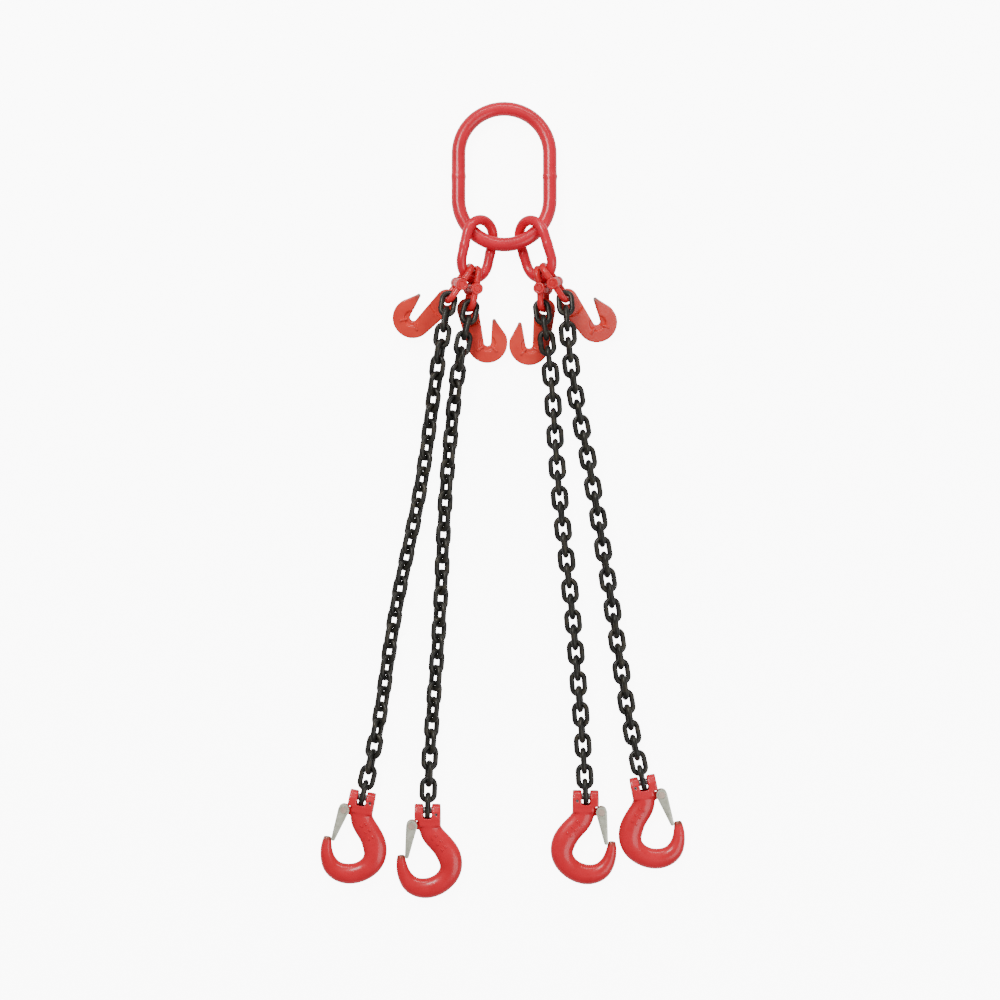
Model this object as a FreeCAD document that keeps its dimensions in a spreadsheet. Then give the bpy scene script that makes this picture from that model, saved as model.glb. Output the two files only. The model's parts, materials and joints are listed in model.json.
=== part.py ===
import FreeCAD, Part
import math
import os

from FreeCAD import Placement, Rotation, Vector

# Four leg chain sling for 7 mm chain, laid flat on a floor with its legs side by side.
# X is right, Y runs towards the master link and Z is up from the floor. Millimetres.

SIZES = {
    # master link and the two intermediate links
    "master_bar": 18.0,
    "master_inner_width": 100.0,
    "master_inner_length": 160.0,
    "sub_bar": 13.0,
    "sub_inner_width": 34.0,
    "sub_inner_length": 63.0,
    "weld_rise": 0.8,
    "weld_length": 9.0,
    # connecting links, each of two halves on a load pin
    "half_bar": 8.4,
    "half_inner_width": 22.0,
    "half_inner_reach": 22.0,
    "half_corner_radius": 6.0,
    "lug_radius": 7.5,
    "lug_width": 7.0,
    "lug_gap": 0.3,
    "joint_pin_dia": 8.0,
    "joint_pin_edge": 0.6,
    "bush_radius": 6.9,
    "bush_length": 14.0,
    "running_gap": 0.08,
    # chain
    "chain_bar": 7.0,
    "chain_pitch": 21.0,
    "chain_inner_width": 9.4,
    # shortening hook
    "grab_depth": 14.0,
    "grab_eye_depth": 7.2,
    "grab_eye_radius": 14.0,
    "grab_eye_bore": 14.0,
    "grab_neck_radius": 22.0,
    "grab_bowl_radius": 26.0,
    "grab_slot_width": 9.0,
    "grab_slot_across": 27.0,
    "grab_slot_down": 42.5,
    "grab_horn_length": 31.0,
    "grab_seat_radius": 10.5,
    "grab_seat_depth": 2.5,
    "grab_rounding": 1.2,
    # sling hook
    "hook_reach": 88.0,
    "hook_depth": 20.0,
    "clevis_width": 34.0,
    "clevis_slot": 10.8,
    "clevis_radius": 8.4,
    "clevis_height": 20.0,
    "clevis_pin_dia": 8.6,
    "clevis_pin_gap": 0.05,
    "clevis_floor": 13.4,
    "roll_pin_dia": 3.5,
    "roll_pin_bore": 1.8,
    "roll_pin_along": 11.2,
    "roll_pin_bite": 1.4,
    "roll_pin_slit": 0.5,
    # latch
    "latch_across": 20.5,
    "latch_down": 20.0,
    "latch_length": 39.5,
    "latch_heel_radius": 7.2,
    "latch_toe_radius": 2.6,
    "latch_width": 15.0,
    "latch_sheet": 1.5,
    "latch_lug_width": 5.0,
    "latch_lug_radius": 5.0,
    "rivet_dia": 5.0,
    "rivet_head_dia": 8.0,
    "rivet_head_height": 1.2,
    "spring_wire": 1.1,
    "spring_radius": 3.55,
    "spring_pitch": 1.0,
    "spring_tail": 4.0,
    "fit_gap": 0.3,
}

# how the sling lies on the floor
MASTER_CENTRE = Vector(8.5, 420.5, 0)
MASTER_LIFT = 4.8
SUB_LINKS = {
    "left": {"centre": (-26.1, 325.8, 24.4), "heading": 12.0, "tilt": 44.2, "lean": 16.8,
             "outer": -1},
    "right": {"centre": (48.8, 325.6, 24.9), "heading": -16.7, "tilt": 47.6, "lean": 16.2,
              "outer": 1},
}
LINKS_PER_SEGMENT = (11, 10, 11)
# on a connecting link's crown bar the chain sits this far up and the shortening hook this far down
START_RISE = 7.4
EYE_DROP = 6.7
LATCH_LEAN = 9.0
SPRING_TURNS = 2
LEGS = [
    {
        "name": "leg_1", "side": "left", "outer": -1,
        "pin": (-49.5, 281.0, 29.4), "upper": 33.6, "lower": 34.5, "dip": 10.0,
        "grab_horn": -1, "grab_turn": 30.0,
        "headings": (10.2, 7.7, 12.1, 7.9, 14.0), "slack": 0.35, "twist": (0, 38, 38, 0),
        "hook_turn": 11.0,
    },
    {
        "name": "leg_2", "side": "left", "outer": -1,
        "pin": (-31.5, 274.5, 23.2), "upper": 8.5, "lower": 12.0, "dip": 3.0,
        "grab_horn": 1, "grab_turn": 2.0,
        "headings": (13.0, 5.6, 2.3, 4.6, 1.8), "slack": 0.35, "twist": (0, -38, -38, 0),
        "hook_turn": 0.0,
    },
    {
        "name": "leg_3", "side": "right", "outer": 1,
        "pin": (58.7, 275.0, 23.2), "upper": -12.9, "lower": 0.0, "dip": 3.0,
        "grab_horn": -1, "grab_turn": -9.0,
        "headings": (-9.0, -3.6, -6.6, -4.6, -3.0), "slack": 0.94, "twist": (0, 5, 12, 0),
        "hook_turn": 0.5,
    },
    {
        "name": "leg_4", "side": "right", "outer": 1,
        "pin": (73.8, 282.0, 34.0), "upper": -35.2, "lower": -33.0, "dip": 10.0,
        "grab_horn": 1, "grab_turn": -20.0,
        "headings": (-3.4, -11.3, -8.9, -8.3, -13.5), "slack": 1.0, "twist": (0, -5, -12, 0),
        "hook_turn": -11.0,
    },
]

doc = FreeCAD.newDocument("four_leg_chain_sling")
sheet = doc.addObject("Spreadsheet::Sheet", "sizes")
for row, (alias, value) in enumerate(SIZES.items(), start=1):
    sheet.set(f"A{row}", alias)
    sheet.set(f"B{row}", str(value))
    sheet.setAlias(f"B{row}", alias)
doc.recompute()


def size(alias):
    """The value of one cell of the sheet, in millimetres."""
    return float(sheet.get(alias))


def bound(text):
    """Turns a formula in alias names into one that reads the sheet."""
    for alias in sorted(SIZES, key=len, reverse=True):
        text = text.replace(alias, "@" + str(list(SIZES).index(alias)) + "@")
    for index, alias in enumerate(SIZES):
        text = text.replace(f"@{index}@", f"sizes.{alias}")
    return text


# primitives


def place_by(solid, at, turn):
    solid.Placement = Placement(Vector(0, 0, 0), turn)
    for axis, text in zip("xyz", at):
        if text != "0":
            solid.setExpression(f".Placement.Base.{axis}", bound(text))
    return solid


TO_X = Rotation(Vector(0, 1, 0), 90)
TO_Y = Rotation(Vector(1, 0, 0), -90)
TO_Z = Rotation()
# along Y with the surface's seam off the bends' own, so that the two join cleanly at any length
ALONG_Y_SEAM_ASIDE = TO_Y * Rotation(Vector(0, 0, 1), 37)


def cylinder(name, radius, length, at=("0", "0", "0"), turn=TO_Z):
    solid = doc.addObject("Part::Cylinder", name)
    solid.setExpression("Radius", bound(radius))
    solid.setExpression("Height", bound(length))
    return place_by(solid, at, turn)


def box(name, lengths, at, turn=TO_Z):
    solid = doc.addObject("Part::Box", name)
    for side, text in zip(("Length", "Width", "Height"), lengths):
        solid.setExpression(side, bound(text))
    return place_by(solid, at, turn)


def bend(name, radius, bar_radius, sweep, at=("0", "0", "0"), turn=TO_Z):
    solid = doc.addObject("Part::Torus", name)
    solid.setExpression("Radius1", bound(radius))
    solid.setExpression("Radius2", bound(bar_radius))
    solid.Angle3 = sweep
    return place_by(solid, at, turn)


def fuse(name, solids):
    joined = doc.addObject("Part::MultiFuse", name)
    joined.Shapes = solids
    joined.Refine = True
    return joined


def cut(name, base, tools):
    """Takes one tool, or several joined, out of the base."""
    tool = tools[0] if len(tools) == 1 else fuse(f"{name}_tools", tools)
    result = doc.addObject("Part::Cut", name)
    result.Base = base
    result.Tool = tool
    return result


def extrusion(name, wire, depth):
    """A closed outline in XY, thickened evenly to both sides."""
    outline = doc.addObject("Part::Feature", f"{name}_outline")
    outline.Shape = Part.Face(wire)
    plate = doc.addObject("Part::Extrusion", name)
    plate.Base = outline
    plate.DirMode = "Custom"
    plate.Dir = Vector(0, 0, 1)
    plate.Symmetric = True
    plate.Solid = True
    plate.setExpression("LengthFwd", bound(depth))
    return plate


def rounded(name, base, radius, chosen):
    """Fillets those edges of the base that the test chooses."""
    doc.recompute()
    fillet = doc.addObject("Part::Fillet", name)
    fillet.Base = base
    edges = enumerate(base.Shape.Edges, start=1)
    fillet.Edges = [(i, radius, radius) for i, edge in edges if chosen(edge)]
    return fillet


# designs, each in its own frame


def oblong_link(name, bar, inner_width, inner_length, weld_rise=None):
    """A welded link in XY with its long way along Y."""
    bend_radius = f"({inner_width} + {bar}) / 2"
    half_side = f"({inner_length} - {inner_width}) / 2"
    solids = [
        bend(f"{name}_head", bend_radius, f"{bar} / 2", 180, ("0", half_side, "0")),
        bend(f"{name}_foot", bend_radius, f"{bar} / 2", 180, ("0", f"-{half_side}", "0"),
             Rotation(Vector(0, 0, 1), 180)),
    ]
    for side, sign in (("right", ""), ("left", "-")):
        across = f"{sign}({inner_width} + {bar}) / 2"
        solids.append(cylinder(f"{name}_{side}", f"{bar} / 2", f"2 * {half_side}",
                               (across, f"-{half_side}", "0"), ALONG_Y_SEAM_ASIDE))
        if weld_rise:
            solids.append(cylinder(f"{name}_{side}_weld", f"{bar} / 2 + {weld_rise}", "weld_length",
                                   (across, "-weld_length / 2", "0"), TO_Y))
    return fuse(name, solids)


def coupling_half():
    """One half of a connecting link: pin along X, crown towards +Y."""
    name = "coupling_half"
    leg_at = "(half_inner_width + half_bar) / 2"
    corner_across = "half_inner_width / 2 - half_corner_radius"
    corner_up = "half_inner_reach - half_corner_radius"
    bend_radius = "half_corner_radius + half_bar / 2"
    inner_lug = "bush_length / 2 + lug_gap"
    outer_lug = "bush_length / 2 + 2 * lug_gap + lug_width"
    bar = [
        cylinder(f"{name}_crown", "half_bar / 2", f"2 * ({corner_across})",
                 (f"-({corner_across})", "half_inner_reach + half_bar / 2", "0"), TO_X),
        bend(f"{name}_corner_right", bend_radius, "half_bar / 2", 90,
             (corner_across, corner_up, "0")),
        bend(f"{name}_corner_left", bend_radius, "half_bar / 2", 90,
             (f"-({corner_across})", corner_up, "0"), Rotation(Vector(0, 0, 1), 90)),
        cylinder(f"{name}_leg_right", "half_bar / 2", corner_up, (leg_at, "0", "0"), TO_Y),
        cylinder(f"{name}_leg_left", "half_bar / 2", corner_up, (f"-{leg_at}", "0", "0"), TO_Y),
    ]
    room = [
        cylinder(f"{name}_room_right", "lug_radius + lug_gap", "lug_width + 4 * lug_gap",
                 (f"{outer_lug} - lug_gap", "0", "0"), TO_X),
        cylinder(f"{name}_room_left", "lug_radius + lug_gap", "lug_width + 2 * lug_gap",
                 (f"-({inner_lug} + lug_width + lug_gap)", "0", "0"), TO_X),
    ]
    arms = cut(f"{name}_arms", fuse(f"{name}_bar", bar), room)
    lugs = [
        cylinder(f"{name}_lug_inner", "lug_radius", "lug_width", (inner_lug, "0", "0"), TO_X),
        cylinder(f"{name}_lug_outer", "lug_radius", "lug_width",
                 (f"-({outer_lug} + lug_width)", "0", "0"), TO_X),
    ]
    bore = cylinder(f"{name}_bore", "joint_pin_dia / 2 + running_gap",
                    "2 * (half_inner_width + half_bar)",
                    ("-(half_inner_width + half_bar)", "0", "0"), TO_X)
    return cut(name, fuse(f"{name}_body", [arms] + lugs), [bore])


def coupling_pin():
    reach = "(bush_length / 2 + 2 * lug_gap + 2 * lug_width)"
    pin = cylinder("coupling_pin_blank", "joint_pin_dia / 2", f"2 * {reach}",
                   (f"-{reach}", "0", "0"), TO_X)

    def is_round(edge):
        return edge.Curve.TypeId == "Part::GeomCircle"

    return rounded("coupling_pin", pin, size("joint_pin_edge"), is_round)


def coupling_bush():
    bush = cylinder("coupling_bush_blank", "bush_radius", "bush_length",
                    ("-bush_length / 2", "0", "0"), TO_X)
    bore = cylinder("coupling_bush_bore", "joint_pin_dia / 2 + running_gap / 4", "2 * bush_length",
                    ("-bush_length", "0", "0"), TO_X)
    return cut("coupling_bush", bush, [bore])


def shortening_hook():
    """Eye at the origin, slot opening towards +Y on the +X side."""
    eye = size("grab_eye_radius")
    bowl = size("grab_bowl_radius")
    bowl_at = Vector(size("grab_slot_across"), -size("grab_slot_down"), 0)
    half_slot = size("grab_slot_width") / 2

    # the back of the hook is a line that touches both the eye and the bowl
    across = math.atan2(bowl_at.y, bowl_at.x) - math.acos((eye - bowl) / bowl_at.Length)
    normal = Vector(math.cos(across), math.sin(across), 0)
    back_top = normal * eye
    back_foot = bowl_at + normal * bowl

    slot_left = bowl_at + Vector(-half_slot, 0, 0)
    # the wall of the slot leans back to a line that touches the eye, so the mouth is wide
    lean = math.atan2(slot_left.y, slot_left.x) + math.acos(eye / slot_left.Length)
    eye_right = Vector(math.cos(lean), math.sin(lean), 0) * eye
    slot_right = bowl_at + Vector(half_slot, 0, 0)
    slot_foot = bowl_at + Vector(0, -half_slot, 0)
    horn = size("grab_horn_length")
    horn_inner = bowl_at + Vector(half_slot + 0.6, horn - 2.6, 0)
    horn_tip = bowl_at + Vector(half_slot + 3.2, horn, 0)
    horn_outer = bowl_at + Vector(half_slot + 5.9, horn - 2.6, 0)
    shoulder = math.radians(24)
    horn_root = bowl_at + Vector(bowl * math.cos(shoulder), bowl * math.sin(shoulder), 0)
    bowl_foot = bowl_at + Vector(0.2, -0.98, 0).normalize() * bowl
    edges = [
        Part.Arc(eye_right, Vector(0, eye, 0), back_top),
        Part.LineSegment(back_top, back_foot),
        Part.Arc(back_foot, bowl_foot, horn_root),
        Part.LineSegment(horn_root, horn_outer),
        Part.Arc(horn_outer, horn_tip, horn_inner),
        Part.LineSegment(horn_inner, slot_right),
        Part.Arc(slot_right, slot_foot, slot_left),
        Part.LineSegment(slot_left, eye_right),
    ]
    wire = Part.Wire([edge.toShape() for edge in edges])
    plate = extrusion("shortening_hook_plate", wire, "grab_depth")

    def on_face(edge):
        middle = edge.valueAt((edge.FirstParameter + edge.LastParameter) / 2)
        flat = abs(abs(middle.z) - size("grab_depth") / 2) < 0.01
        return flat and edge.BoundBox.ZLength < 0.01

    body = rounded("shortening_hook_rounded", plate, size("grab_rounding"), on_face)
    tools = [
        cylinder("shortening_hook_eye", "grab_eye_bore / 2", "2 * grab_depth", ("0", "0", "-grab_depth")),
    ]
    for side in ("top", "under"):
        start = "grab_eye_depth / 2" if side == "top" else "-grab_eye_depth / 2 - grab_depth"
        tools.append(cylinder(f"shortening_hook_{side}", "grab_neck_radius", "grab_depth",
                              ("0", "0", start)))
        seat = "grab_depth / 2 - grab_seat_depth"
        start = seat if side == "top" else f"-({seat}) - grab_depth"
        tools.append(cylinder(f"shortening_hook_{side}_seat", "grab_seat_radius", "grab_depth",
                              ("grab_slot_across", "-grab_slot_down", start)))
    return cut("shortening_hook", body, tools)


# where the roll pin runs past the load pin of the sling hook, biting into its groove
ROLL_PIN_ACROSS = "-(clevis_pin_dia + roll_pin_dia) / 2 + roll_pin_bite"

# centre line of the sling hook from its clevis to its tip for a reach of 88, its width there and
# its thickness as a share of the hook's depth
HOOK_REACH_DRAWN = 88.0
HOOK_STATIONS = [
    (0.6, -12.0, 27.0, 0.95),
    (2.3, -21.0, 28.0, 0.90),
    (7.2, -32.0, 29.5, 0.90),
    (16.5, -42.5, 30.0, 0.92),
    (24.5, -53.0, 31.0, 0.96),
    (29.4, -64.5, 30.5, 1.00),
    (29.6, -77.0, 28.5, 1.00),
    (23.0, -89.0, 27.0, 1.00),
    (11.0, -97.8, 26.5, 1.00),
    (-4.3, -101.3, 26.0, 1.00),
    (-18.8, -97.6, 23.5, 0.95),
    (-28.3, -87.5, 19.5, 0.86),
    (-32.6, -76.5, 16.0, 0.74),
    (-34.2, -66.5, 13.0, 0.60),
    (-34.6, -58.0, 9.5, 0.44),
]


def sling_hook():
    """Clevis pin at the origin along X, bowl below it, mouth towards -X."""
    name = "sling_hook"
    scale = size("hook_reach") / HOOK_REACH_DRAWN
    centres = [Vector(x, y, 0) * scale for x, y, _, _ in HOOK_STATIONS]
    sections = []
    for i, (_, _, width, share) in enumerate(HOOK_STATIONS):
        before = centres[max(i - 1, 0)]
        after = centres[min(i + 1, len(centres) - 1)]
        along = (after - before).normalize()
        if i == 0:
            along = Vector(0, -1, 0)
        side = Vector(0, 0, 1).cross(along)
        ellipse = doc.addObject("Part::Ellipse", f"{name}_section_{i + 1}")
        ellipse.setExpression("MajorRadius", bound(f"{width / 2} * hook_reach / {HOOK_REACH_DRAWN}"))
        ellipse.setExpression("MinorRadius", bound(f"{share / 2} * hook_depth"))
        level = Rotation(side, Vector(0, 0, 1), side.cross(Vector(0, 0, 1)), "XYZ")
        ellipse.Placement = Placement(centres[i], level)
        sections.append(ellipse)
    blade = doc.addObject("Part::Loft", f"{name}_blade")
    blade.Sections = sections
    blade.Solid = True
    blade.Ruled = False

    half_width = "clevis_width / 2"
    clevis = [
        cylinder(f"{name}_ear_round", "clevis_radius", "clevis_width",
                 (f"-{half_width}", "0", "0"), TO_X),
        box(f"{name}_ear_block", ("clevis_width", "latch_down - latch_heel_radius", "clevis_height"),
            (f"-{half_width}", "-(latch_down - latch_heel_radius)", "-clevis_height / 2")),
        box(f"{name}_neck", ("clevis_width - 6", "clevis_floor + 7", "clevis_height - 1"),
            (f"-{half_width} + 6", "-(clevis_floor + 7)", "-clevis_height / 2 + 0.5")),
        cylinder(f"{name}_latch_lug", "latch_lug_radius", "latch_lug_width",
                 ("-latch_across", "-latch_down", "-latch_lug_width / 2")),
        box(f"{name}_latch_root", ("latch_across - 6", "2 * latch_lug_radius", "latch_lug_width"),
            ("-latch_across", "-latch_down - latch_lug_radius", "-latch_lug_width / 2")),
    ]
    body = fuse(f"{name}_body", [blade] + clevis)
    tools = [
        cylinder(f"{name}_latch_room_top", "latch_heel_radius + fit_gap", "latch_width",
                 ("-latch_across", "-latch_down", "latch_lug_width / 2")),
        cylinder(f"{name}_latch_room_under", "latch_heel_radius + fit_gap", "latch_width",
                 ("-latch_across", "-latch_down", "-latch_lug_width / 2 - latch_width")),
        cylinder(f"{name}_slot_round", "clevis_floor", "clevis_slot",
                 ("-clevis_slot / 2", "0", "0"), TO_X),
        box(f"{name}_slot_mouth", ("clevis_slot", "3 * clevis_radius", "2 * clevis_floor"),
            ("-clevis_slot / 2", "0", "-clevis_floor")),
        cylinder(f"{name}_pin_bore", "clevis_pin_dia / 2 + clevis_pin_gap", "2 * clevis_width",
                 ("-clevis_width", "0", "0"), TO_X),
        cylinder(f"{name}_roll_bore", "roll_pin_dia / 2 + clevis_pin_gap", "2 * clevis_height",
                 ("roll_pin_along", ROLL_PIN_ACROSS, "-clevis_height")),
        cylinder(f"{name}_rivet_bore", "rivet_dia / 2 + clevis_pin_gap", "2 * latch_width",
                 ("-latch_across", "-latch_down", "-latch_width")),
    ]
    return cut(name, body, tools)


def clevis_pin():
    """Load pin of the clevis with the groove that the roll pin holds it by."""
    length = "(clevis_width - 1)"
    pin = cylinder("clevis_pin_blank", "clevis_pin_dia / 2", length, (f"-{length} / 2", "0", "0"), TO_X)
    ring = cylinder("clevis_pin_ring", "clevis_pin_dia", "roll_pin_dia + 1",
                    ("roll_pin_along - (roll_pin_dia + 1) / 2", "0", "0"), TO_X)
    core = cylinder("clevis_pin_core", "clevis_pin_dia / 2 - 1.5", "roll_pin_dia + 3",
                    ("roll_pin_along - (roll_pin_dia + 3) / 2", "0", "0"), TO_X)
    groove = cut("clevis_pin_groove", ring, [core])
    return cut("clevis_pin", pin, [groove])


def roll_pin():
    """A slit tube along Z beside the load pin."""
    length = "(clevis_height - 1)"
    tube = cylinder("roll_pin_blank", "roll_pin_dia / 2", length,
                    ("roll_pin_along", ROLL_PIN_ACROSS, f"-{length} / 2"))
    tools = [
        cylinder("roll_pin_hollow", "roll_pin_bore / 2", f"2 * {length}",
                 ("roll_pin_along", ROLL_PIN_ACROSS, f"-{length}")),
        box("roll_pin_slit", ("roll_pin_dia", "roll_pin_slit", f"2 * {length}"),
            ("roll_pin_along", f"{ROLL_PIN_ACROSS} - roll_pin_slit / 2", f"-{length}")),
    ]
    return cut("roll_pin", tube, tools)


def tapered_outline(heel, toe, length):
    """Round heel at the origin and round toe at -Y, joined by lines that touch both."""
    lean = math.asin((heel - toe) / length)
    right = Vector(math.cos(lean), -math.sin(lean), 0)
    left = Vector(-right.x, right.y, 0)
    toe_at = Vector(0, -length, 0)
    edges = [
        Part.Arc(right * heel, Vector(0, heel, 0), left * heel),
        Part.LineSegment(left * heel, toe_at + left * toe),
        Part.Arc(toe_at + left * toe, toe_at + Vector(0, -toe, 0), toe_at + right * toe),
        Part.LineSegment(toe_at + right * toe, right * heel),
    ]
    return Part.Wire([edge.toShape() for edge in edges])


def latch():
    """Sheet channel: rivet at the origin, toe towards -Y, its back towards -X and open towards +X."""
    heel = size("latch_heel_radius")
    toe = size("latch_toe_radius")
    length = size("latch_length")
    sheet_gauge = size("latch_sheet")
    blank = extrusion("latch_blank", tapered_outline(heel, toe, length), "latch_width")
    room = extrusion("latch_room", tapered_outline(heel - sheet_gauge, toe - sheet_gauge, length),
                     "latch_width - 2 * latch_sheet")
    open_side = box("latch_open_side", ("4 * latch_heel_radius", "latch_length + 4 * latch_heel_radius",
                                        "latch_width - 2 * latch_sheet"),
                    ("-0.2", "-latch_length - 2 * latch_heel_radius", "-latch_width / 2 + latch_sheet"))
    heel_side = box("latch_heel_side", ("4 * latch_heel_radius", "3 * latch_heel_radius",
                                        "latch_width - 2 * latch_sheet"),
                    ("-2 * latch_heel_radius", "-latch_heel_radius - 1", "-latch_width / 2 + latch_sheet"))
    bore = cylinder("latch_bore", "rivet_dia / 2 + clevis_pin_gap", "2 * latch_width",
                    ("0", "0", "-latch_width"))
    return cut("latch", blank, [room, open_side, heel_side, bore])


def latch_rivet():
    shank = cylinder("latch_rivet_shank", "rivet_dia / 2", "latch_width + 0.4",
                     ("0", "0", "-latch_width / 2 - 0.2"))
    heads = [
        cylinder("latch_rivet_head_top", "rivet_head_dia / 2", "rivet_head_height",
                 ("0", "0", "latch_width / 2 + 0.2")),
        cylinder("latch_rivet_head_under", "rivet_head_dia / 2", "rivet_head_height",
                 ("0", "0", "-latch_width / 2 - 0.2 - rivet_head_height")),
    ]
    return fuse("latch_rivet", [shank] + heads)


def latch_spring():
    """Close turns of wire round the rivet, beside the hook's lug, with a tail at each end."""
    turns = range(SPRING_TURNS)
    wire = [
        bend(f"latch_spring_turn_{turn + 1}", "spring_radius", "spring_wire / 2", 360,
             ("0", "0", f"{turn} * spring_pitch"))
        for turn in turns
    ]
    tail_radius = "spring_wire / 2 - 0.02"
    wire.append(cylinder("latch_spring_toe_tail", tail_radius, "spring_tail",
                         ("spring_radius", "-spring_tail + spring_wire / 4", "0"), TO_Y))
    wire.append(cylinder("latch_spring_heel_tail", tail_radius, "spring_tail / 2",
                         ("-spring_radius", "-spring_wire / 4", f"{turns[-1]} * spring_pitch"), TO_Y))
    return fuse("latch_spring", wire)


# layout on the floor


def direction(heading):
    """Unit vector down the sling, turned to the left by the heading in degrees."""
    turn = math.radians(heading)
    return Vector(-math.sin(turn), -math.cos(turn), 0)


def frame(at, x_dir, y_dir):
    """Placement whose Y is y_dir and whose X is as near x_dir as it can be."""
    y_axis = Vector(y_dir).normalize()
    z_axis = Vector(x_dir).cross(y_axis).normalize()
    return Placement(Vector(*at), Rotation(y_axis.cross(z_axis), y_axis, z_axis, "XYZ"))


def blended(values, share):
    """Smooth value at a share of the way through a list of evenly spaced values."""
    place = min(max(share, 0.0), 1.0) * (len(values) - 1)
    step = min(int(place), len(values) - 2)
    ease = place - step
    ease = ease * ease * (3 - 2 * ease)
    return values[step] * (1 - ease) + values[step + 1] * ease


def chain_height(twist):
    """Height of the chain's centre line over the floor when its links lean by the twist."""
    lean = math.radians(twist)
    bend_radius = (size("chain_inner_width") + size("chain_bar")) / 2
    return bend_radius * max(abs(math.sin(lean)), abs(math.cos(lean))) + size("chain_bar") / 2 + 0.15


def walk_chain(leg, start):
    """Placements of a leg's links from its connecting link to its hook, and the hook's pin."""
    count = sum(LINKS_PER_SEGMENT)
    spacing = size("chain_pitch") - leg["slack"]
    first = first_link_step()
    last = size("chain_pitch") / 2 - size("clevis_pin_dia") / 2 - size("fit_gap")
    at = Vector(start)
    centres = []
    for i in range(count + 1):
        share = i / count
        step = first if i == 0 else spacing
        step = last if i == count else step
        at = at + direction(blended(leg["headings"], share)) * step
        centres.append(Vector(at))
    end = centres.pop()
    rest = chain_height(0) + 0.2
    for i, centre in enumerate(centres):
        floor = chain_height(link_twist(leg, i, count))
        floor = rest + (floor - rest) * blended((1, 1, 0), (i - count + 5) / 4)
        drop = blended((0, -0.17, 0.0, 0.36, 0.76, 1, 1), i / 9)
        centre.z = start.z + (floor - start.z) * drop
    end.z = rest
    placements = []
    for i, centre in enumerate(centres):
        ahead = centres[i + 1] if i + 1 < count else end
        behind = centres[i - 1] if i else start
        along = (ahead - behind).normalize()
        if i == 0:
            along = (centres[1] - centres[0]).normalize()
        level = along.cross(Vector(0, 0, 1)).normalize()
        roll = link_twist(leg, i, count) + 90 * (i % 2)
        side = Rotation(along, roll).multVec(level)
        placements.append(frame(centre, side, along * -1))
    return placements, end


def first_link_step():
    """How far the first link's middle is from the crown bar, its end clear of the crown's corner."""
    corner = size("half_corner_radius")
    offset = START_RISE - (size("half_inner_width") / 2 - corner)
    room = corner - size("chain_bar") / 2
    tuck = math.sqrt(room * room - offset * offset) - size("fit_gap")
    link_reach = (size("chain_pitch") + size("chain_bar")) / 2
    return tuck - corner - size("half_bar") / 2 + link_reach


def link_twist(leg, i, count):
    ramp = 5 / (count - 1)
    share = i / (count - 1)
    start, after, before, end = leg["twist"]
    if share < ramp:
        return start + (after - start) * share / ramp
    if share > 1 - ramp:
        return before + (end - before) * (share - 1 + ramp) / ramp
    return after + (before - after) * (share - ramp) / (1 - 2 * ramp)


def copy_of(design, name, placement):
    part = doc.addObject("Part::Compound", name)
    part.Links = [design]
    part.Placement = placement
    part.Label = name
    return part


def chain_segment(link, name, placements):
    """Several links as separate solids, held in the frame of the first of them."""
    origin = placements[0]
    shapes = []
    for placement in placements:
        shape = link.Shape.copy()
        shape.Placement = origin.inverse() * placement
        shapes.append(shape)
    segment = doc.addObject("Part::Feature", name)
    segment.Shape = Part.makeCompound(shapes)
    segment.Placement = origin
    segment.Label = name
    return segment


def build_links(parts, master, sub):
    lift = math.radians(MASTER_LIFT)
    half = size("master_inner_length") / 2 + size("master_bar") / 2
    up = Vector(0, math.cos(lift), -math.sin(lift))
    at = Vector(MASTER_CENTRE)
    at.z = size("master_bar") / 2 + half * math.sin(lift)
    parts["master_link"] = copy_of(master, "master_link", frame(at, Vector(1, 0, 0), up))
    for side, lie in SUB_LINKS.items():
        along = direction(lie["heading"])
        level = Vector(-along.y, along.x, 0) * lie["outer"]
        tilt = math.radians(lie["tilt"])
        across = level * math.cos(tilt) + Vector(0, 0, math.sin(tilt))
        name = f"{side}_sub_link"
        parts[name] = copy_of(sub, name, frame(lie["centre"], across, along * -1))


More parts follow.
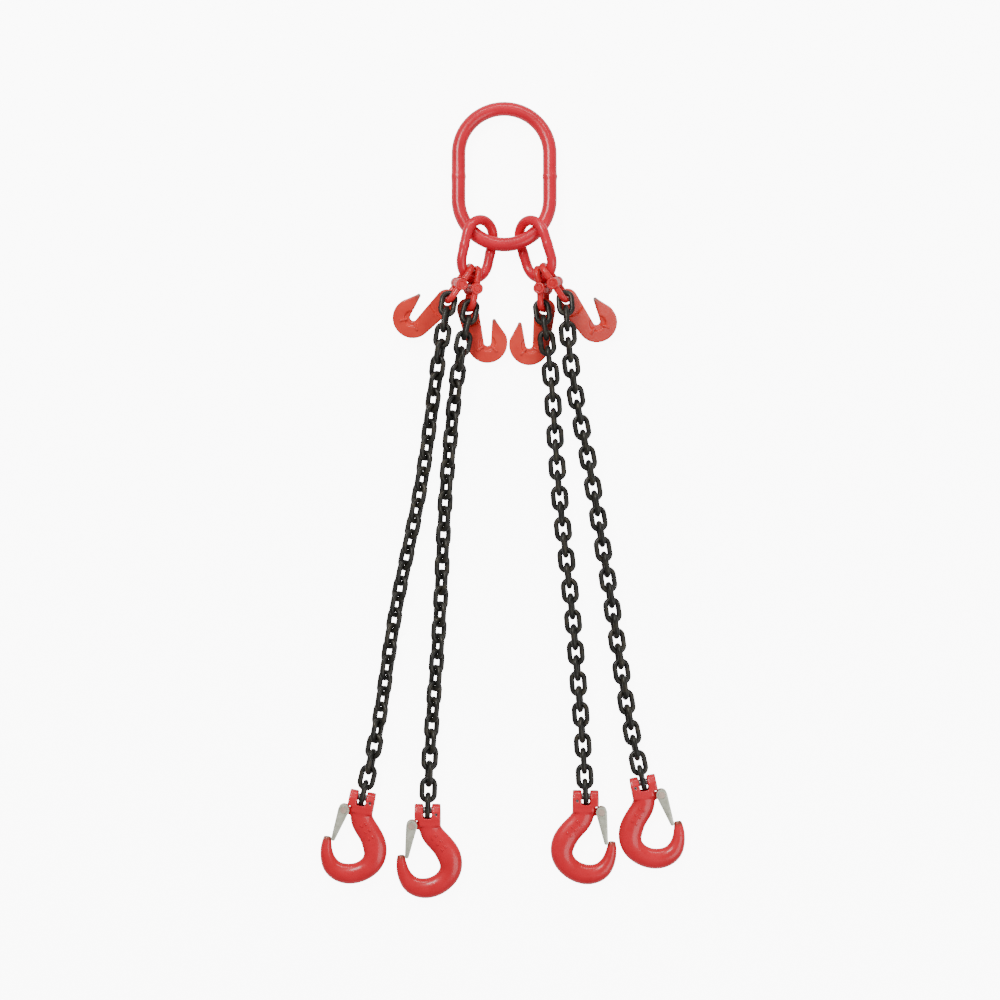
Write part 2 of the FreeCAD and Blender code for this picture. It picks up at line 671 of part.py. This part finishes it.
def build_leg(parts, leg, designs):
    name = leg["name"]
    lean = math.radians(SUB_LINKS[leg["side"]]["lean"]) * leg["outer"]
    across = direction(leg["lower"]).cross(Vector(0, 0, 1))
    pin_axis = Rotation(across, -leg["dip"]).multVec(Vector(-math.sin(lean), 0, math.cos(lean)))
    pin_at = Vector(*leg["pin"])

    def joint_frame(heading, sign):
        along = direction(heading) * sign
        along = (along - pin_axis * along.dot(pin_axis)).normalize()
        return frame(pin_at, pin_axis * -sign, along)

    upper = joint_frame(leg["upper"], -1)
    lower = joint_frame(leg["lower"], 1)
    parts[f"{name}_coupling_upper"] = copy_of(designs["half"], f"{name}_coupling_upper", upper)
    parts[f"{name}_coupling_lower"] = copy_of(designs["half"], f"{name}_coupling_lower", lower)
    parts[f"{name}_coupling_pin"] = copy_of(designs["pin"], f"{name}_coupling_pin", upper)
    parts[f"{name}_coupling_bush"] = copy_of(designs["bush"], f"{name}_coupling_bush", upper)

    crown = size("half_inner_reach") + size("half_bar") / 2
    bar_at = lower.multVec(Vector(0, crown, 0))

    # the shortening hook hangs from the low side of the crown bar and its bowl lies on the floor
    eye_at = bar_at - pin_axis * EYE_DROP
    down = direction(leg["grab_turn"])
    reach = size("grab_slot_down")
    fall = eye_at.z - size("grab_depth") / 2 - 0.4
    drop = math.asin(fall / (reach + size("grab_bowl_radius") / 2))
    down = down * math.cos(drop) - Vector(0, 0, math.sin(drop))
    horn_side = Vector(-down.y, down.x, 0) * leg["grab_horn"]
    parts[f"{name}_shortening_hook"] = copy_of(
        designs["grab"], f"{name}_shortening_hook", frame(eye_at, horn_side, down * -1))

    # the chain starts on the high side of the same bar
    start = bar_at + pin_axis * START_RISE
    placements, pin_end = walk_chain(leg, start)
    first = 0
    for segment, count in zip(("upper", "middle", "lower"), LINKS_PER_SEGMENT):
        links = placements[first:first + count]
        part_name = f"{name}_chain_{segment}"
        parts[part_name] = chain_segment(designs["link"], part_name, links)
        first += count

    # the sling hook lies flat with its mouth away from the middle of the sling
    along = direction(leg["hook_turn"])
    droop = math.asin((pin_end.z - size("hook_depth") / 2 - 0.4) / size("hook_reach"))
    along = along * math.cos(droop) - Vector(0, 0, math.sin(droop))
    mouth = Vector(-along.y, along.x, 0) * -leg["outer"]
    hook = frame(pin_end, mouth, along * -1)
    for part_name in ("sling_hook", "clevis_pin", "roll_pin"):
        parts[f"{name}_{part_name}"] = copy_of(designs[part_name], f"{name}_{part_name}", hook)
    rivet_at = Vector(-size("latch_across"), -size("latch_down"), 0)
    pivot = hook * Placement(rivet_at, Rotation(Vector(0, 0, 1), -LATCH_LEAN))
    for part_name in ("latch", "latch_rivet"):
        parts[f"{name}_{part_name}"] = copy_of(designs[part_name], f"{name}_{part_name}", pivot)
    spring_at = Vector(0, 0, size("latch_lug_width") / 2 + size("spring_wire") / 2 + 0.15)
    parts[f"{name}_latch_spring"] = copy_of(
        designs["latch_spring"], f"{name}_latch_spring", pivot * Placement(spring_at, Rotation()))


def stand_on_floor(parts):
    """Moves the whole sling so that its box stands on the floor with the origin under its middle."""
    whole = FreeCAD.BoundBox()
    for part in parts.values():
        whole.add(part.Shape.optimalBoundingBox(True, False))
    shift = Vector(-whole.Center.x, -whole.Center.y, -whole.ZMin)
    for part in parts.values():
        part.Placement.Base = part.Placement.Base + shift


def build():
    designs = {
        "half": coupling_half(),
        "pin": coupling_pin(),
        "bush": coupling_bush(),
        "link": oblong_link("chain_link", "chain_bar", "chain_inner_width", "chain_pitch"),
        "grab": shortening_hook(),
        "sling_hook": sling_hook(),
        "clevis_pin": clevis_pin(),
        "roll_pin": roll_pin(),
        "latch": latch(),
        "latch_rivet": latch_rivet(),
        "latch_spring": latch_spring(),
    }
    master = oblong_link("master", "master_bar", "master_inner_width", "master_inner_length",
                         "weld_rise")
    sub = oblong_link("sub_link", "sub_bar", "sub_inner_width", "sub_inner_length", "weld_rise")
    doc.recompute()

    parts = {}
    build_links(parts, master, sub)
    for leg in LEGS:
        build_leg(parts, leg, designs)
    doc.recompute()
    stand_on_floor(parts)
    doc.recompute()
    return parts


def check_document():
    for thing in doc.Objects:
        if "Invalid" in thing.State or "Error" in thing.State:
            raise RuntimeError(f"{thing.Name} is {thing.State}")
        if thing.isDerivedFrom("Part::Feature") and (thing.Shape.isNull() or not thing.Shape.isValid()):
            raise RuntimeError(f"{thing.Name} has no sound shape")


parts = build()
check_document()
os.makedirs("parts", exist_ok=True)
for node, part in parts.items():
    part.Shape.exportStep(f"parts/{node}.step")
print(f"{len(parts)} sub-parts")
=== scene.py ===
import json
import math

import bpy
import numpy as np
from mathutils import Matrix, Vector


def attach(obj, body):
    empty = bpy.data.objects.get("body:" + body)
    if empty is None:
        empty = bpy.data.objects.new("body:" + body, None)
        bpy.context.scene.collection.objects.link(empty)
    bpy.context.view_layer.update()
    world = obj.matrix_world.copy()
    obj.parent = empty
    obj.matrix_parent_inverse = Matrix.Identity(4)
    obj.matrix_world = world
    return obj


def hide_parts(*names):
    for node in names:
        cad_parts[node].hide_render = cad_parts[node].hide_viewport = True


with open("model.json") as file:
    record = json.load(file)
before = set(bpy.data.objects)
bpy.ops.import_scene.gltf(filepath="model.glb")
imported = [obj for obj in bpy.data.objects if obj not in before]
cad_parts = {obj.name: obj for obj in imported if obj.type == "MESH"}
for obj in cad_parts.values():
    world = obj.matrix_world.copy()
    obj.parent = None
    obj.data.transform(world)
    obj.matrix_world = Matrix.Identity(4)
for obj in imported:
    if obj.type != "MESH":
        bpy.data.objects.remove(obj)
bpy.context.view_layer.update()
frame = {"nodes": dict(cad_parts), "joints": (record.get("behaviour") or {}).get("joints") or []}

legs = ["leg_1", "leg_2", "leg_3", "leg_4"]
nodes = frame["nodes"]
joints = {joint["name"]: joint for joint in frame["joints"]}
print("frame loaded,", len(nodes), "nodes")


# small helpers

def clearSelection():
    if bpy.context.mode != "OBJECT":
        bpy.ops.object.mode_set(mode="OBJECT")
    bpy.ops.object.select_all(action="DESELECT")


def makeActive(piece):
    clearSelection()
    piece.select_set(True)
    bpy.context.view_layer.objects.active = piece


def applyModifier(piece, kind, **settings):
    makeActive(piece)
    modifier = piece.modifiers.new(kind.lower(), kind)
    for setting, value in settings.items():
        setattr(modifier, setting, value)
    bpy.ops.object.modifier_apply(modifier=modifier.name)


def copyOfNode(name, node):
    piece = bpy.data.objects.new(name, nodes[node].data.copy())
    bpy.context.scene.collection.objects.link(piece)
    return piece


def placeOf(xAxis, yAxis, zAxis, origin):
    turn = Matrix((xAxis, yAxis, zAxis)).transposed().to_4x4()
    return Matrix.Translation(origin) @ turn


def finishPiece(piece, body, material):
    makeActive(piece)
    bpy.ops.object.transform_apply(location=True, rotation=True, scale=True)
    piece.data.materials.clear()
    piece.data.materials.append(material)
    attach(piece, body)


# materials

def startMaterial(name):
    material = bpy.data.materials.new(name)
    material.use_nodes = True
    tree = material.node_tree
    shader = tree.nodes["Principled BSDF"]
    where = tree.nodes.new("ShaderNodeTexCoord")
    return material, tree, shader, where.outputs["Object"]


def noiseAt(tree, where, scale, detail=3.0, roughness=0.55):
    noise = tree.nodes.new("ShaderNodeTexNoise")
    noise.inputs["Scale"].default_value = scale
    noise.inputs["Detail"].default_value = detail
    noise.inputs["Roughness"].default_value = roughness
    tree.links.new(where, noise.inputs["Vector"])
    return noise.outputs["Fac"]


def rampOf(tree, value, stops):
    ramp = tree.nodes.new("ShaderNodeValToRGB")
    elements = ramp.color_ramp.elements
    while len(elements) < len(stops):
        elements.new(0.5)
    for element, (place, colour) in zip(elements, stops):
        element.position = place
        element.color = (*colour, 1.0)
    tree.links.new(value, ramp.inputs["Fac"])
    return ramp.outputs["Color"]


def rangeOf(tree, value, low, high, toLow, toHigh):
    mapped = tree.nodes.new("ShaderNodeMapRange")
    mapped.inputs["From Min"].default_value = low
    mapped.inputs["From Max"].default_value = high
    mapped.inputs["To Min"].default_value = toLow
    mapped.inputs["To Max"].default_value = toHigh
    tree.links.new(value, mapped.inputs["Value"])
    return mapped.outputs["Result"]


def mixColours(tree, share, first, second):
    mix = tree.nodes.new("ShaderNodeMix")
    mix.data_type = "RGBA"
    tree.links.new(share, mix.inputs["Factor"])
    tree.links.new(first, mix.inputs["A"])
    if isinstance(second, tuple):
        mix.inputs["B"].default_value = (*second, 1.0)
    else:
        tree.links.new(second, mix.inputs["B"])
    return mix.outputs["Result"]


def bumpOf(tree, shader, layers):
    normal = None
    for height, strength, distance in layers:
        bump = tree.nodes.new("ShaderNodeBump")
        bump.inputs["Strength"].default_value = strength
        bump.inputs["Distance"].default_value = distance
        tree.links.new(height, bump.inputs["Height"])
        if normal:
            tree.links.new(normal, bump.inputs["Normal"])
        normal = bump.outputs["Normal"]
    tree.links.new(normal, shader.inputs["Normal"])


def nearPoint(tree, where, point, inner, outer, ragged):
    # 1 at the point, falling to 0 at the outer radius with a ragged edge
    apart = tree.nodes.new("ShaderNodeVectorMath")
    apart.operation = "DISTANCE"
    apart.inputs[1].default_value = point
    tree.links.new(where, apart.inputs[0])
    rough = noiseAt(tree, where, ragged, 4.0, 0.65)
    shifted = tree.nodes.new("ShaderNodeMath")
    shifted.operation = "MULTIPLY_ADD"
    shifted.inputs[1].default_value = (outer - inner) * 1.6
    tree.links.new(rough, shifted.inputs[0])
    tree.links.new(apart.outputs["Value"], shifted.inputs[2])
    middle = (outer - inner) * 0.8
    return rangeOf(tree, shifted.outputs["Value"], inner + middle, outer + middle, 1.0, 0.0)


enamel = {
    "blotchScale": 24.0,     # slow change of shade over a forging, per metre
    "scaleGrain": 210.0,     # forged skin under the paint
    "peelGrain": 900.0,      # fine orange peel of sprayed paint
    "grainDepth": 0.00022,
    "peelDepth": 0.00005,
}


def enamelFinish(name, bright, deep, gloss, wornPoint=None, wornColour=None, wornReach=0.0):
    material, tree, shader, where = startMaterial(name)
    blotch = noiseAt(tree, where, enamel["blotchScale"], 4.0, 0.6)
    colour = rampOf(tree, blotch, [(0.32, deep), (0.66, bright)])
    grain = noiseAt(tree, where, enamel["scaleGrain"], 5.0, 0.6)
    peel = noiseAt(tree, where, enamel["peelGrain"], 2.0)
    roughness = rangeOf(tree, grain, 0.3, 0.7, gloss, gloss + 0.16)
    if wornPoint:
        worn = nearPoint(tree, where, wornPoint, wornReach * 0.35, wornReach, 260.0)
        colour = mixColours(tree, worn, colour, wornColour)
        bare = tree.nodes.new("ShaderNodeMath")
        bare.operation = "MULTIPLY"
        bare.inputs[1].default_value = 0.55
        tree.links.new(worn, bare.inputs[0])
        tree.links.new(bare.outputs["Value"], shader.inputs["Metallic"])
    tree.links.new(colour, shader.inputs["Base Color"])
    tree.links.new(roughness, shader.inputs["Roughness"])
    shader.inputs["Specular IOR Level"].default_value = 0.35
    shader.inputs["Coat Weight"].default_value = 0.35
    shader.inputs["Coat Roughness"].default_value = 0.14
    bumpOf(tree, shader, [(grain, 0.5, enamel["grainDepth"]), (peel, 0.35, enamel["peelDepth"])])
    return material


def chainFinish(name):
    material, tree, shader, where = startMaterial(name)
    patch = noiseAt(tree, where, 95.0, 4.0, 0.65)
    colour = rampOf(tree, patch, [(0.30, (0.010, 0.010, 0.009)), (0.52, (0.026, 0.025, 0.020)),
                                  (0.74, (0.070, 0.058, 0.036))])
    scale = noiseAt(tree, where, 520.0, 4.0, 0.7)
    roughness = rangeOf(tree, scale, 0.3, 0.7, 0.26, 0.5)
    tree.links.new(colour, shader.inputs["Base Color"])
    tree.links.new(roughness, shader.inputs["Roughness"])
    shader.inputs["Metallic"].default_value = 0.35
    bumpOf(tree, shader, [(scale, 0.5, 0.00012)])
    return material


def metalFinish(name, bright, deep, low, high, metallic=1.0):
    material, tree, shader, where = startMaterial(name)
    patch = noiseAt(tree, where, 130.0, 4.0, 0.6)
    colour = rampOf(tree, patch, [(0.34, deep), (0.64, bright)])
    grain = noiseAt(tree, where, 900.0, 3.0, 0.6)
    roughness = rangeOf(tree, grain, 0.3, 0.7, low, high)
    tree.links.new(colour, shader.inputs["Base Color"])
    tree.links.new(roughness, shader.inputs["Roughness"])
    shader.inputs["Metallic"].default_value = metallic
    bumpOf(tree, shader, [(grain, 0.3, 0.00004)])
    return material


finishes = {
    "ring_red": enamelFinish("ringEnamel", (0.80, 0.008, 0.034), (0.62, 0.004, 0.022), 0.24),
    "coupling_red": enamelFinish("couplingEnamel", (0.82, 0.012, 0.020), (0.60, 0.006, 0.012),
                                 0.28),
    "chain_black": chainFinish("blackOxide"),
    "latch_zinc": metalFinish("zincSheet", (0.78, 0.78, 0.64), (0.58, 0.59, 0.46), 0.34, 0.52,
                              metallic=0.7),
    # the rivet is zinc, but its colour is brightened to a pinkish orange: a painted highlight
    "rivet_zinc": metalFinish("zincRivetPaintedHighlight", (0.90, 0.68, 0.55), (0.74, 0.52, 0.42), 0.30, 0.46,
                              metallic=0.6),
    "pin_steel": metalFinish("turnedPin", (0.42, 0.40, 0.38), (0.28, 0.26, 0.25), 0.3, 0.46),
    "spring_steel": metalFinish("springWire", (0.40, 0.40, 0.39), (0.26, 0.26, 0.26), 0.26, 0.4),
}
print("finishes mixed")


# where each sling hook lies, from its two joints

def hookFrame(leg):
    hinge = joints[f"{leg}_hook_lift"]
    pivot = joints[f"{leg}_latch_open"]
    origin = Vector(hinge["pos_m"])
    toLatch = Vector(pivot["pos_m"]) - origin
    xAxis = Vector(hinge["axis"]).normalized()
    if toLatch.dot(xAxis) > 0:
        xAxis.negate()
    yAxis = (xAxis * toLatch.dot(xAxis) - toLatch).normalized()
    zAxis = xAxis.cross(yAxis)
    return placeOf(xAxis, yAxis, zAxis, origin)


forging = {
    "hookVoxel": 0.00075,
    "hookPasses": 32,
    "shorteningVoxel": 0.0008,
    "shorteningPasses": 6,
    "couplingVoxel": 0.00055,
    "couplingPasses": 5,
}


def forged(node, kind):
    # the node's own shape with its edges drawn round, as a hammer die leaves them
    piece = copyOfNode(f"{node}_forging", node)
    applyModifier(piece, "REMESH", mode="VOXEL", voxel_size=forging[f"{kind}Voxel"])
    applyModifier(piece, "SMOOTH", factor=0.5, iterations=forging[f"{kind}Passes"])
    makeActive(piece)
    bpy.ops.object.shade_smooth()
    return piece


rings = {
    # body: bar, inner width, inner length, how far the weld stands proud
    "master_link": (0.018, 0.100, 0.160, 0.0007),
    "left_sub_link": (0.013, 0.034, 0.063, 0.0004),
    "right_sub_link": (0.013, 0.034, 0.063, 0.0004),
}
ringMesh = {
    "roundSides": 48,
    "bendSteps": 44,
    "straightSteps": 26,
    "weldHalf": 0.0055,      # half the length of a weld's swelling
    "unevenness": 0.25,      # how much the swelling varies round the bar
    "unevenWaves": 5,
    "weldTogether": 0.00001,
}


def ownFrame(node):
    # middle and three axes of a symmetric node: Y along it, X across it, Z through its thickness
    faces = nodes[node].data.polygons
    centres = np.array([face.center for face in faces])
    areas = np.array([face.area for face in faces])[:, None]
    middle = (centres * areas).sum(axis=0) / areas.sum()
    spread = ((centres - middle) * areas).T @ (centres - middle)
    axes = np.linalg.eigh(spread)[1]
    zAxis, yAxis = Vector(axes[:, 0]), Vector(axes[:, 2])
    if zAxis.z < 0:
        zAxis.negate()
    if yAxis.y < 0:
        yAxis.negate()
    return placeOf(yAxis.cross(zAxis), yAxis, zAxis, Vector(middle))


def extrudeAlong(shift, steps):
    for step in range(steps):
        bpy.ops.mesh.extrude_region_move(TRANSFORM_OT_translate={"value": shift / steps})


def spinHalfTurn(centreY):
    bpy.ops.mesh.spin(steps=ringMesh["bendSteps"], angle=-math.pi, center=(0, centreY, 0),
                      axis=(0, 0, 1))


def makeRing(node, bar, innerWidth, innerLength, weldRise):
    bendRadius = (innerWidth + bar) / 2
    halfSide = (innerLength - innerWidth) / 2
    clearSelection()
    bpy.ops.mesh.primitive_circle_add(vertices=ringMesh["roundSides"], radius=bar / 2,
                                      location=(bendRadius, -halfSide, 0),
                                      rotation=(math.pi / 2, 0, 0))
    ring = bpy.context.active_object
    ring.name = f"{node}_forging"
    bpy.ops.object.transform_apply(location=True, rotation=True, scale=True)
    bpy.ops.object.mode_set(mode="EDIT")
    bpy.ops.mesh.select_all(action="SELECT")
    extrudeAlong(Vector((0, 2 * halfSide, 0)), ringMesh["straightSteps"])
    spinHalfTurn(halfSide)
    extrudeAlong(Vector((0, -2 * halfSide, 0)), ringMesh["straightSteps"])
    spinHalfTurn(-halfSide)
    bpy.ops.mesh.select_all(action="SELECT")
    bpy.ops.mesh.remove_doubles(threshold=ringMesh["weldTogether"])
    bpy.ops.mesh.normals_make_consistent(inside=False)
    bpy.ops.object.mode_set(mode="OBJECT")
    swellWelds(ring, bendRadius, weldRise)
    bpy.ops.object.shade_smooth()
    ring.data.transform(ownFrame(node))
    return ring


def swellWelds(ring, bendRadius, weldRise):
    # the flash weld halfway along each straight side: a low swelling, slightly uneven round the bar
    for vertex in ring.data.vertices:
        reach = abs(vertex.co.y) / ringMesh["weldHalf"]
        if reach < 1:
            axisPoint = Vector((math.copysign(bendRadius, vertex.co.x), vertex.co.y, 0))
            out = (vertex.co - axisPoint).normalized()
            wave = math.sin(ringMesh["unevenWaves"] * math.atan2(out.z, out.x) + 2)
            uneven = 1 + ringMesh["unevenness"] * wave
            vertex.co += out * weldRise * uneven * math.cos(reach * math.pi / 2) ** 2


def makeRings():
    for node, (bar, innerWidth, innerLength, weldRise) in rings.items():
        ring = makeRing(node, bar, innerWidth, innerLength, weldRise)
        finishPiece(ring, node, finishes["ring_red"])
        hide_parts(node)


def makeCouplings():
    for leg in legs:
        for half in ("upper", "lower"):
            node = f"{leg}_coupling_{half}"
            piece = forged(node, "coupling")
            finishPiece(piece, node, finishes["coupling_red"])
            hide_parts(node)


shortening = {
    "bright": (0.90, 0.058, 0.034),
    "deep": (0.74, 0.026, 0.018),
    "tipColour": (0.16, 0.10, 0.08),
    "tipWear": 0.010,
    "eyeDrop": 0.0067,                       # eye below the middle of the crown bar it hangs on
    "bowl": (0.027, -0.0425, 0.0),           # slot bottom, from the eye
    "hornTip": (0.0347, -0.0115, 0.0),
    "hornSide": {"leg_1": -1, "leg_2": 1, "leg_3": -1, "leg_4": 1},
    "wingAngles": (-38.0, -142.0),
    "wingFrom": 0.0062,
    "wing": (0.0105, 0.0032, 0.0030),        # length, width, height
    "wingEdge": 0.0012,
    "wingSink": 0.0004,
    "clear": 0.010,                          # from the plate's middle to a place off its face
}


def shorteningFrame(leg):
    # the plate's normal is its thinnest way, its eye is on the swing joint, its bowl farthest off
    node = f"{leg}_shortening_hook"
    zAxis = ownFrame(node).to_3x3() @ Vector((0, 0, 1))
    hinge = joints[f"{leg}_shortening_hook_swing"]
    eye = Vector(hinge["pos_m"])
    if leg != "leg_3":       # its hinge already passes through the eye
        axis = Vector(hinge["axis"]).normalized()
        eye -= axis * math.copysign(shortening["eyeDrop"], axis.z)
    far = max(nodes[node].data.vertices, key=lambda vertex: (vertex.co - eye).length).co
    toBowl = far - eye
    toBowl = (toBowl - zAxis * toBowl.dot(zAxis)).normalized()
    side = shortening["hornSide"][leg]
    bowl = Vector(shortening["bowl"])
    across = math.atan2(bowl.x, -bowl.y) * side
    down = (Matrix.Rotation(-across, 3, zAxis) @ toBowl).normalized()
    xAxis = zAxis.cross(-down) * -side
    return placeOf(xAxis, -down, xAxis.cross(-down), eye)


def roundedBlock(name, size, edge):
    # a block with its edges rolled over in edit mode, lying along X
    clearSelection()
    bpy.ops.mesh.primitive_cube_add(size=1.0, location=(0, 0, 0))
    block = bpy.context.active_object
    block.name = name
    block.scale = size
    bpy.ops.object.transform_apply(location=True, rotation=True, scale=True)
    bpy.ops.object.mode_set(mode="EDIT")
    bpy.ops.mesh.select_all(action="SELECT")
    bpy.ops.mesh.bevel(offset=edge, segments=3, profile=0.5, affect="EDGES")
    bpy.ops.object.mode_set(mode="OBJECT")
    bpy.ops.object.shade_smooth()
    return block


def standOn(piece, block, place, outward, along, sink):
    # sets a block on the nearest point of the piece's skin, its Z outwards
    spot, normal = piece.closest_point_on_mesh(place)[1:3]
    zAxis = (normal if normal.dot(outward) > 0 else outward).normalized()
    xAxis = (along - zAxis * along.dot(zAxis)).normalized()
    block.data.transform(placeOf(xAxis, zAxis.cross(xAxis), zAxis, spot - zAxis * sink))


def joinInto(piece, blocks):
    clearSelection()
    for block in blocks:
        block.select_set(True)
    piece.select_set(True)
    bpy.context.view_layer.objects.active = piece
    bpy.ops.object.join()


def addWings(piece, place):
    # two low ribs each side run out from the slot's foot and cradle the link that is hooked in
    blocks = []
    turn = place.to_3x3()
    foot = Vector(shortening["bowl"])
    for face in (1, -1):
        outward = turn @ Vector((0, 0, face))
        for degrees in shortening["wingAngles"]:
            angle = math.radians(degrees)
            ray = Vector((math.cos(angle), math.sin(angle), 0))
            middle = foot + ray * (shortening["wingFrom"] + shortening["wing"][0] / 2)
            start = place @ (middle + Vector((0, 0, shortening["clear"] * face)))
            wing = roundedBlock("cradleWing", shortening["wing"], shortening["wingEdge"])
            standOn(piece, wing, start, outward, turn @ ray, shortening["wingSink"])
            blocks.append(wing)
    joinInto(piece, blocks)


latchSheet = {
    "edge": 0.00035,         # rolled edge of the pressed sheet
    "creaseDegrees": 32.0,   # a turn sharper than this is an edge
    "seamGap": 0.000002,
}


def makeLatches():
    for leg in legs:
        node = f"{leg}_latch"
        piece = copyOfNode(f"{node}_pressing", node)
        makeActive(piece)
        bpy.ops.object.mode_set(mode="EDIT")
        bpy.ops.mesh.select_all(action="SELECT")
        bpy.ops.mesh.remove_doubles(threshold=latchSheet["seamGap"])
        bpy.ops.object.mode_set(mode="OBJECT")
        crease = math.radians(latchSheet["creaseDegrees"])
        applyModifier(piece, "BEVEL", width=latchSheet["edge"], segments=2, limit_method="ANGLE",
                      angle_limit=crease)
        makeActive(piece)
        bpy.ops.object.shade_smooth_by_angle(angle=crease)
        finishPiece(piece, node, finishes["latch_zinc"])
        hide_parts(node)


def makeShorteningHooks():
    for leg in legs:
        node = f"{leg}_shortening_hook"
        place = shorteningFrame(leg)
        piece = forged(node, "shortening")
        addWings(piece, place)
        tip = place @ Vector(shortening["hornTip"])
        finish = enamelFinish(f"{leg}ShorteningEnamel", shortening["bright"], shortening["deep"],
                              0.30, tuple(tip), shortening["tipColour"], shortening["tipWear"])
        finishPiece(piece, node, finish)
        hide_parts(node)


slingHook = {
    "bright": (0.88, 0.014, 0.034),
    "deep": (0.72, 0.008, 0.020),
    "tipColour": (0.24, 0.10, 0.06),
    "padRows": ((0.0085, -0.0335), (0.0150, -0.0405), (0.0210, -0.0480)),   # along the shank
    "padApart": 0.0066,
    "pad": (0.0038, 0.0030, 0.0026),
    "padEdge": 0.0006,
    "padSink": 0.0004,
    "clear": 0.012,          # from the shank's middle to a place off its face
    "tip": (-0.0346, -0.058, 0.0),
    "tipWear": 0.009,
}


def addShankPads(piece, place):
    # raised pads in two columns on the upper face of the shank
    turn = place.to_3x3()
    up = turn @ Vector((0, 0, 1))
    if up.z < 0:
        up.negate()
    rows = slingHook["padRows"]
    along = Vector((rows[-1][0] - rows[0][0], rows[-1][1] - rows[0][1], 0)).normalized()
    across = Vector((-along.y, along.x, 0))
    blocks = []
    for x, y in rows:
        for side in (-0.5, 0.5):
            middle = Vector((x, y, 0)) + across * side * slingHook["padApart"]
            pad = roundedBlock("shankPad", slingHook["pad"], slingHook["padEdge"])
            start = place @ middle + up * slingHook["clear"]
            standOn(piece, pad, start, up, turn @ along, slingHook["padSink"])
            blocks.append(pad)
    joinInto(piece, blocks)


def makeSlingHooks():
    for leg in legs:
        node = f"{leg}_sling_hook"
        piece = forged(node, "hook")
        place = hookFrame(leg)
        addShankPads(piece, place)
        tip = place @ Vector(slingHook["tip"])
        finish = enamelFinish(f"{leg}HookEnamel", slingHook["bright"], slingHook["deep"], 0.22,
                              tuple(tip), slingHook["tipColour"], slingHook["tipWear"])
        finishPiece(piece, node, finish)
        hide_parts(node)


cadSlots = {
    "coupling_pin": "coupling_red",
    "coupling_bush": "coupling_red",
    "clevis_pin": "pin_steel",
    "roll_pin": "pin_steel",
    "latch_rivet": "rivet_zinc",
    "latch_spring": "spring_steel",
    "chain_upper": "chain_black",
    "chain_middle": "chain_black",
    "chain_lower": "chain_black",
}


def paintKeptNodes():
    for leg in legs:
        for part, slotName in cadSlots.items():
            mesh = nodes[f"{leg}_{part}"].data
            mesh.materials.clear()
            mesh.materials.append(finishes[slotName])


makeRings()
print("rings forged")
makeCouplings()
print("couplings forged")
makeShorteningHooks()
print("shortening hooks forged")
makeSlingHooks()
print("sling hooks forged")
makeLatches()
print("latches pressed")
paintKeptNodes()
print("chain, pins and latches painted")


# floor, light and camera

studio = {
    "floorSide": 8.0,
    "floorColour": (0.93, 0.93, 0.92),
    "floorPatch": (0.95, 0.95, 0.94),
    "cameraHeight": 3.07,
    "cameraAcross": -0.0035,
    "lens": 85.0,
    "skyStrength": 0.30,
    "floorGlow": 9.0,
}

lamps = [
    # name, place, size, power, colour
    ("keyPanel", (-1.1, 1.3, 2.5), (1.0, 1.0), 56.0, (1.0, 0.99, 0.97)),
    ("fillPanel", (1.7, -0.9, 2.2), (1.8, 1.8), 30.0, (0.97, 0.98, 1.0)),
    ("stripPanel", (0.3, 2.1, 1.4), (2.4, 0.35), 22.0, (1.0, 1.0, 1.0)),
]


def makeFloor():
    clearSelection()
    bpy.ops.mesh.primitive_plane_add(size=studio["floorSide"], location=(0, 0, 0))
    floor = bpy.context.active_object
    floor.name = "studioFloor"
    material, tree, shader, where = startMaterial("paleFloor")
    tone = noiseAt(tree, where, 3.0, 2.0)
    colour = rampOf(tree, tone, [(0.3, studio["floorColour"]), (0.7, studio["floorPatch"])])
    tree.links.new(colour, shader.inputs["Base Color"])
    shader.inputs["Roughness"].default_value = 0.85
    shader.inputs["Specular IOR Level"].default_value = 0.1
    # a lit sweep: the floor glows a little for the lens, and not onto the sling
    lightPath = tree.nodes.new("ShaderNodeLightPath")
    glow = tree.nodes.new("ShaderNodeMath")
    glow.operation = "MULTIPLY"
    glow.inputs[1].default_value = studio["floorGlow"]
    tree.links.new(lightPath.outputs["Is Camera Ray"], glow.inputs[0])
    tree.links.new(glow.outputs["Value"], shader.inputs["Emission Strength"])
    shader.inputs["Emission Color"].default_value = (1.0, 1.0, 1.0, 1.0)
    floor.data.materials.append(material)


def makeLights():
    for name, place, (width, depth), power, colour in lamps:
        light = bpy.data.lights.new(name, "AREA")
        light.shape = "RECTANGLE"
        light.size = width
        light.size_y = depth
        light.energy = power
        light.color = colour
        lamp = bpy.data.objects.new(name, light)
        bpy.context.scene.collection.objects.link(lamp)
        lamp.location = place
        lamp.rotation_euler = (-Vector(place)).to_track_quat("-Z", "Y").to_euler()
    world = bpy.data.worlds.new("studioSky")
    world.use_nodes = True
    world.node_tree.nodes["Background"].inputs["Color"].default_value = (1.0, 1.0, 1.0, 1.0)
    world.node_tree.nodes["Background"].inputs["Strength"].default_value = studio["skyStrength"]
    bpy.context.scene.world = world


def makeCamera():
    lens = bpy.data.cameras.new("overheadCamera")
    lens.lens = studio["lens"]
    camera = bpy.data.objects.new("overheadCamera", lens)
    bpy.context.scene.collection.objects.link(camera)
    camera.location = (studio["cameraAcross"], 0, studio["cameraHeight"])
    bpy.context.scene.camera = camera


makeFloor()
makeLights()
makeCamera()
print("studio set")
